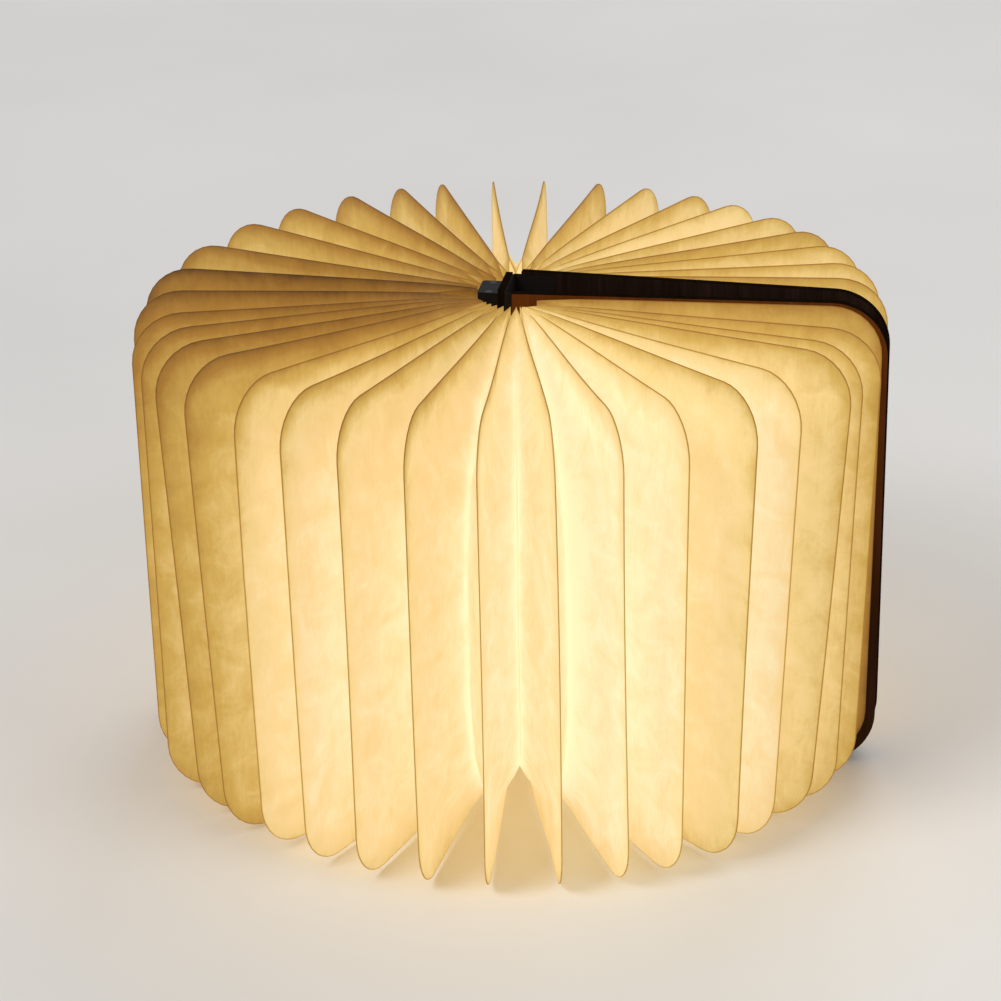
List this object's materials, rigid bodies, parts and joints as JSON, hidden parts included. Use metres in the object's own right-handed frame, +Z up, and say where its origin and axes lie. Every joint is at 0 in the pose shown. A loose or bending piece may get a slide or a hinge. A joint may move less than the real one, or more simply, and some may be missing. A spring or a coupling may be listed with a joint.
{
  "type": "folding book lamp",
  "caption": "Book-shaped accordion lamp: pleats of translucent sheet fan out around a slim light core between two hinged wooden covers that fold right back.",
  "frame": {"origin": "centre of the bottom end of the spine board, on the surface that the lamp stands on", "axes": "+Z up, along the hinge lines; +X from the spine board towards the covers' fore-edges, folded right back; -Y towards the front cover's side"},
  "size_m": [0.3227, 0.3304, 0.215],
  "materials": {
    "cover_wood": "satin",
    "hinge_cloth": "matte",
    "pleat_sheet": "matte",
    "magnet": "satin",
    "core_black": "matte",
    "diffuser": "satin",
    "strip_board": "gloss",
    "diode": "gloss",
    "cell_foil": "satin",
    "circuit_board": "gloss",
    "socket_steel": "satin",
    "reed_glass": "gloss",
    "screw_steel": "satin"
  },
  "bodies": {
    "spine": {"spine_board": "cover_wood", "spine_cloth": "hinge_cloth", "front_inner_folds": "pleat_sheet", "rear_inner_folds": "pleat_sheet", "core_housing": "core_black", "front_diffuser": "diffuser", "rear_diffuser": "diffuser", "light_strip_boards": "strip_board", "light_diodes": "diode", "battery_cell": "cell_foil", "control_board": "circuit_board", "charging_socket": "socket_steel", "reed_switch": "reed_glass", "top_end_cap": "core_black", "bottom_end_cap": "core_black", "end_cap_screws": "screw_steel"},
    "front_cover": {"front_cover_board": "cover_wood", "front_hinge_cloth": "hinge_cloth", "front_end_leaf": "pleat_sheet", "front_cover_magnets": "magnet"},
    "rear_cover": {"rear_cover_board": "cover_wood", "rear_hinge_cloth": "hinge_cloth", "rear_end_leaf": "pleat_sheet", "rear_cover_magnets": "magnet"},
    "pleat_01": {"pleat_01": "pleat_sheet"},
    "pleat_02": {"pleat_02": "pleat_sheet"},
    "pleat_03": {"pleat_03": "pleat_sheet"},
    "pleat_04": {"pleat_04": "pleat_sheet"},
    "pleat_05": {"pleat_05": "pleat_sheet"},
    "pleat_06": {"pleat_06": "pleat_sheet"},
    "pleat_07": {"pleat_07": "pleat_sheet"},
    "pleat_08": {"pleat_08": "pleat_sheet"},
    "pleat_09": {"pleat_09": "pleat_sheet"},
    "pleat_10": {"pleat_10": "pleat_sheet"},
    "pleat_11": {"pleat_11": "pleat_sheet"},
    "pleat_12": {"pleat_12": "pleat_sheet"},
    "pleat_13": {"pleat_13": "pleat_sheet"},
    "pleat_14": {"pleat_14": "pleat_sheet"},
    "pleat_15": {"pleat_15": "pleat_sheet"},
    "pleat_16": {"pleat_16": "pleat_sheet"},
    "pleat_17": {"pleat_17": "pleat_sheet"},
    "pleat_18": {"pleat_18": "pleat_sheet"},
    "pleat_19": {"pleat_19": "pleat_sheet"},
    "pleat_20": {"pleat_20": "pleat_sheet"},
    "pleat_21": {"pleat_21": "pleat_sheet"},
    "pleat_22": {"pleat_22": "pleat_sheet"},
    "pleat_23": {"pleat_23": "pleat_sheet"},
    "pleat_24": {"pleat_24": "pleat_sheet"},
    "pleat_25": {"pleat_25": "pleat_sheet"},
    "pleat_26": {"pleat_26": "pleat_sheet"},
    "pleat_27": {"pleat_27": "pleat_sheet"},
    "pleat_28": {"pleat_28": "pleat_sheet"},
    "pleat_29": {"pleat_29": "pleat_sheet"},
    "pleat_30": {"pleat_30": "pleat_sheet"},
    "pleat_31": {"pleat_31": "pleat_sheet"},
    "pleat_32": {"pleat_32": "pleat_sheet"},
    "pleat_33": {"pleat_33": "pleat_sheet"},
    "pleat_34": {"pleat_34": "pleat_sheet"},
    "pleat_35": {"pleat_35": "pleat_sheet"},
    "pleat_36": {"pleat_36": "pleat_sheet"}
  },
  "joints": [
    {"name": "front_cover_hinge", "type": "hinge", "parent": "spine", "child": "front_cover", "pos_m": [0.0015, -0.0125, 0], "axis": [0, 0, -1], "range_deg": [-1.3, 182.9], "deforming": ["front_inner_folds"]},
    {"name": "rear_cover_hinge", "type": "hinge", "parent": "spine", "child": "rear_cover", "pos_m": [0.0015, 0.0125, 0], "axis": [0, 0, 1], "range_deg": [-1.3, 182.9], "deforming": ["rear_inner_folds"]},
    {"name": "pleat_01_fold", "type": "hinge", "parent": "spine", "child": "pleat_01", "pos_m": [0.0014, -0.01196, 0], "axis": [0, 0, -1], "range_deg": [-1.24, 174.04]},
    {"name": "pleat_02_fold", "type": "hinge", "parent": "spine", "child": "pleat_02", "pos_m": [0.00145, -0.0109, 0], "axis": [0, 0, -1], "range_deg": [-1.17, 165.04]},
    {"name": "pleat_03_fold", "type": "hinge", "parent": "spine", "child": "pleat_03", "pos_m": [0.00156, -0.00985, 0], "axis": [0, 0, -1], "range_deg": [-1.11, 155.79]},
    {"name": "pleat_04_fold", "type": "hinge", "parent": "spine", "child": "pleat_04", "pos_m": [0.00171, -0.0088, 0], "axis": [0, 0, -1], "range_deg": [-1.04, 146.24]},
    {"name": "pleat_05_fold", "type": "hinge", "parent": "spine", "child": "pleat_05", "pos_m": [0.00191, -0.00778, 0], "axis": [0, 0, -1], "range_deg": [-0.97, 136.34]},
    {"name": "pleat_06_fold", "type": "hinge", "parent": "spine", "child": "pleat_06", "pos_m": [0.00216, -0.00677, 0], "axis": [0, 0, -1], "range_deg": [-0.9, 126.15]},
    {"name": "pleat_07_fold", "type": "hinge", "parent": "spine", "child": "pleat_07", "pos_m": [0.00246, -0.0058, 0], "axis": [0, 0, -1], "range_deg": [-0.82, 115.75]},
    {"name": "pleat_08_fold", "type": "hinge", "parent": "spine", "child": "pleat_08", "pos_m": [0.00282, -0.00487, 0], "axis": [0, 0, -1], "range_deg": [-0.75, 105.24]},
    {"name": "pleat_09_fold", "type": "hinge", "parent": "spine", "child": "pleat_09", "pos_m": [0.00322, -0.00402, 0], "axis": [0, 0, -1], "range_deg": [-0.67, 94.75]},
    {"name": "pleat_10_fold", "type": "hinge", "parent": "spine", "child": "pleat_10", "pos_m": [0.00364, -0.00325, 0], "axis": [0, 0, -1], "range_deg": [-0.6, 84.4]},
    {"name": "pleat_11_fold", "type": "hinge", "parent": "spine", "child": "pleat_11", "pos_m": [0.00407, -0.00259, 0], "axis": [0, 0, -1], "range_deg": [-0.53, 74.27]},
    {"name": "pleat_12_fold", "type": "hinge", "parent": "spine", "child": "pleat_12", "pos_m": [0.00446, -0.00205, 0], "axis": [0, 0, -1], "range_deg": [-0.46, 64.38]},
    {"name": "pleat_13_fold", "type": "hinge", "parent": "spine", "child": "pleat_13", "pos_m": [0.00477, -0.00162, 0], "axis": [0, 0, -1], "range_deg": [-0.39, 54.73]},
    {"name": "pleat_14_fold", "type": "hinge", "parent": "spine", "child": "pleat_14", "pos_m": [0.00496, -0.00129, 0], "axis": [0, 0, -1], "range_deg": [-0.32, 45.24]},
    {"name": "pleat_15_fold", "type": "hinge", "parent": "spine", "child": "pleat_15", "pos_m": [0.00497, -0.00104, 0], "axis": [0, 0, -1], "range_deg": [-0.26, 35.81]},
    {"name": "pleat_16_fold", "type": "hinge", "parent": "spine", "child": "pleat_16", "pos_m": [0.00471, -0.00083, 0], "axis": [0, 0, -1], "range_deg": [-0.19, 26.33]},
    {"name": "pleat_17_fold", "type": "hinge", "parent": "spine", "child": "pleat_17", "pos_m": [0.00394, -0.00062, 0], "axis": [0, 0, -1], "range_deg": [-0.12, 16.68]},
    {"name": "pleat_18_fold", "type": "hinge", "parent": "spine", "child": "pleat_18", "pos_m": [0.00101, -0.00035, 0], "axis": [0, 0, -1], "range_deg": [-0.05, 6.77]},
    {"name": "pleat_19_fold", "type": "hinge", "parent": "spine", "child": "pleat_19", "pos_m": [0.01433, -0.00031, 0], "axis": [0, 0, 1], "range_deg": [-0.03, 3.44]},
    {"name": "pleat_20_fold", "type": "hinge", "parent": "spine", "child": "pleat_20", "pos_m": [0.00719, 0.00014, 0], "axis": [0, 0, 1], "range_deg": [-0.1, 13.94]},
    {"name": "pleat_21_fold", "type": "hinge", "parent": "spine", "child": "pleat_21", "pos_m": [0.00586, 0.00054, 0], "axis": [0, 0, 1], "range_deg": [-0.18, 24.67]},
    {"name": "pleat_22_fold", "type": "hinge", "parent": "spine", "child": "pleat_22", "pos_m": [0.00511, 0.00099, 0], "axis": [0, 0, 1], "range_deg": [-0.25, 35.52]},
    {"name": "pleat_23_fold", "type": "hinge", "parent": "spine", "child": "pleat_23", "pos_m": [0.00456, 0.00148, 0], "axis": [0, 0, 1], "range_deg": [-0.33, 46.37]},
    {"name": "pleat_24_fold", "type": "hinge", "parent": "spine", "child": "pleat_24", "pos_m": [0.00412, 0.002, 0], "axis": [0, 0, 1], "range_deg": [-0.41, 57.08]},
    {"name": "pleat_25_fold", "type": "hinge", "parent": "spine", "child": "pleat_25", "pos_m": [0.00376, 0.00254, 0], "axis": [0, 0, 1], "range_deg": [-0.48, 67.54]},
    {"name": "pleat_26_fold", "type": "hinge", "parent": "spine", "child": "pleat_26", "pos_m": [0.00345, 0.0031, 0], "axis": [0, 0, 1], "range_deg": [-0.55, 77.67]},
    {"name": "pleat_27_fold", "type": "hinge", "parent": "spine", "child": "pleat_27", "pos_m": [0.00319, 0.00369, 0], "axis": [0, 0, 1], "range_deg": [-0.62, 87.44]},
    {"name": "pleat_28_fold", "type": "hinge", "parent": "spine", "child": "pleat_28", "pos_m": [0.00295, 0.00432, 0], "axis": [0, 0, 1], "range_deg": [-0.69, 96.89]},
    {"name": "pleat_29_fold", "type": "hinge", "parent": "spine", "child": "pleat_29", "pos_m": [0.00273, 0.00499, 0], "axis": [0, 0, 1], "range_deg": [-0.76, 106.09]},
    {"name": "pleat_30_fold", "type": "hinge", "parent": "spine", "child": "pleat_30", "pos_m": [0.00252, 0.00572, 0], "axis": [0, 0, 1], "range_deg": [-0.82, 115.17]},
    {"name": "pleat_31_fold", "type": "hinge", "parent": "spine", "child": "pleat_31", "pos_m": [0.00231, 0.00653, 0], "axis": [0, 0, 1], "range_deg": [-0.88, 124.25]},
    {"name": "pleat_32_fold", "type": "hinge", "parent": "spine", "child": "pleat_32", "pos_m": [0.0021, 0.00742, 0], "axis": [0, 0, 1], "range_deg": [-0.95, 133.45]},
    {"name": "pleat_33_fold", "type": "hinge", "parent": "spine", "child": "pleat_33", "pos_m": [0.00191, 0.00839, 0], "axis": [0, 0, 1], "range_deg": [-1.02, 142.86]},
    {"name": "pleat_34_fold", "type": "hinge", "parent": "spine", "child": "pleat_34", "pos_m": [0.00173, 0.00945, 0], "axis": [0, 0, 1], "range_deg": [-1.08, 152.54]},
    {"name": "pleat_35_fold", "type": "hinge", "parent": "spine", "child": "pleat_35", "pos_m": [0.00157, 0.01059, 0], "axis": [0, 0, 1], "range_deg": [-1.16, 162.49]},
    {"name": "pleat_36_fold", "type": "hinge", "parent": "spine", "child": "pleat_36", "pos_m": [0.00145, 0.01179, 0], "axis": [0, 0, 1], "range_deg": [-1.23, 172.63]}
  ],
  "couplings": [
    {"joint": "pleat_01_fold", "follows": "front_cover_hinge", "ratio": 0.95153},
    {"joint": "pleat_02_fold", "follows": "front_cover_hinge", "ratio": 0.90233},
    {"joint": "pleat_03_fold", "follows": "front_cover_hinge", "ratio": 0.85179},
    {"joint": "pleat_04_fold", "follows": "front_cover_hinge", "ratio": 0.79953},
    {"joint": "pleat_05_fold", "follows": "front_cover_hinge", "ratio": 0.74544},
    {"joint": "pleat_06_fold", "follows": "front_cover_hinge", "ratio": 0.68973},
    {"joint": "pleat_07_fold", "follows": "front_cover_hinge", "ratio": 0.63283},
    {"joint": "pleat_08_fold", "follows": "front_cover_hinge", "ratio": 0.57538},
    {"joint": "pleat_09_fold", "follows": "front_cover_hinge", "ratio": 0.51805},
    {"joint": "pleat_10_fold", "follows": "front_cover_hinge", "ratio": 0.46146},
    {"joint": "pleat_11_fold", "follows": "front_cover_hinge", "ratio": 0.40605},
    {"joint": "pleat_12_fold", "follows": "front_cover_hinge", "ratio": 0.352},
    {"joint": "pleat_13_fold", "follows": "front_cover_hinge", "ratio": 0.29922},
    {"joint": "pleat_14_fold", "follows": "front_cover_hinge", "ratio": 0.24733},
    {"joint": "pleat_15_fold", "follows": "front_cover_hinge", "ratio": 0.19579},
    {"joint": "pleat_16_fold", "follows": "front_cover_hinge", "ratio": 0.14395},
    {"joint": "pleat_17_fold", "follows": "front_cover_hinge", "ratio": 0.091172},
    {"joint": "pleat_18_fold", "follows": "front_cover_hinge", "ratio": 0.036994},
    {"joint": "pleat_19_fold", "follows": "rear_cover_hinge", "ratio": 0.018822},
    {"joint": "pleat_20_fold", "follows": "rear_cover_hinge", "ratio": 0.076226},
    {"joint": "pleat_21_fold", "follows": "rear_cover_hinge", "ratio": 0.13488},
    {"joint": "pleat_22_fold", "follows": "rear_cover_hinge", "ratio": 0.19422},
    {"joint": "pleat_23_fold", "follows": "rear_cover_hinge", "ratio": 0.25353},
    {"joint": "pleat_24_fold", "follows": "rear_cover_hinge", "ratio": 0.31208},
    {"joint": "pleat_25_fold", "follows": "rear_cover_hinge", "ratio": 0.36925},
    {"joint": "pleat_26_fold", "follows": "rear_cover_hinge", "ratio": 0.42462},
    {"joint": "pleat_27_fold", "follows": "rear_cover_hinge", "ratio": 0.47806},
    {"joint": "pleat_28_fold", "follows": "rear_cover_hinge", "ratio": 0.52973},
    {"joint": "pleat_29_fold", "follows": "rear_cover_hinge", "ratio": 0.58006},
    {"joint": "pleat_30_fold", "follows": "rear_cover_hinge", "ratio": 0.62969},
    {"joint": "pleat_31_fold", "follows": "rear_cover_hinge", "ratio": 0.67932},
    {"joint": "pleat_32_fold", "follows": "rear_cover_hinge", "ratio": 0.72961},
    {"joint": "pleat_33_fold", "follows": "rear_cover_hinge", "ratio": 0.78109},
    {"joint": "pleat_34_fold", "follows": "rear_cover_hinge", "ratio": 0.83402},
    {"joint": "pleat_35_fold", "follows": "rear_cover_hinge", "ratio": 0.88838},
    {"joint": "pleat_36_fold", "follows": "rear_cover_hinge", "ratio": 0.94387}
  ]
}
